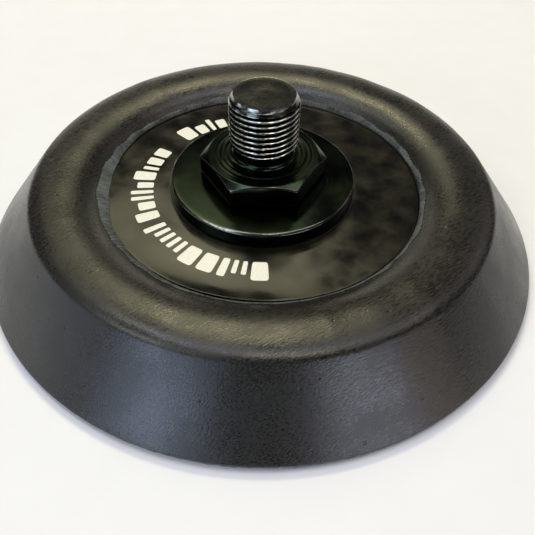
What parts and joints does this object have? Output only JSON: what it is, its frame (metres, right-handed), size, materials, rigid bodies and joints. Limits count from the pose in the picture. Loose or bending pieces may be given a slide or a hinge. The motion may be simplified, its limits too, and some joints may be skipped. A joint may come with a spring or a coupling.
{
  "type": "hook and loop polishing pad",
  "caption": "Round moulded-foam polishing pad with a hook face below, a stiff plate and a male-threaded steel spindle with a hexagon.",
  "frame": {"origin": "centre of the hook face, on the plane of the hook tips", "axes": "+Z along the spindle, from the hook face towards the thread; -Y is square to one flat of the hexagon"},
  "size_m": [0.076, 0.076, 0.0225],
  "materials": {
    "hook_nylon": "moulded nylon hooks",
    "woven_nylon": "woven nylon tape",
    "adhesive": "set contact adhesive",
    "polyurethane_foam": "satin moulded skin",
    "glass_nylon": "moulded, glass filled",
    "gloss_film": "glossy printed film",
    "zinc_steel": "zinc plated",
    "black_oxide_steel": "turned and blackened, oiled"
  },
  "bodies": {
    "root": {"hook_pile": "hook_nylon", "hook_tape": "woven_nylon", "adhesive_film": "adhesive", "foam_body": "polyurethane_foam", "backing_plate": "glass_nylon", "label_disc": "gloss_film", "lower_washer": "zinc_steel", "clamp_washer": "black_oxide_steel", "spindle": "black_oxide_steel"}
  },
  "joints": []
}
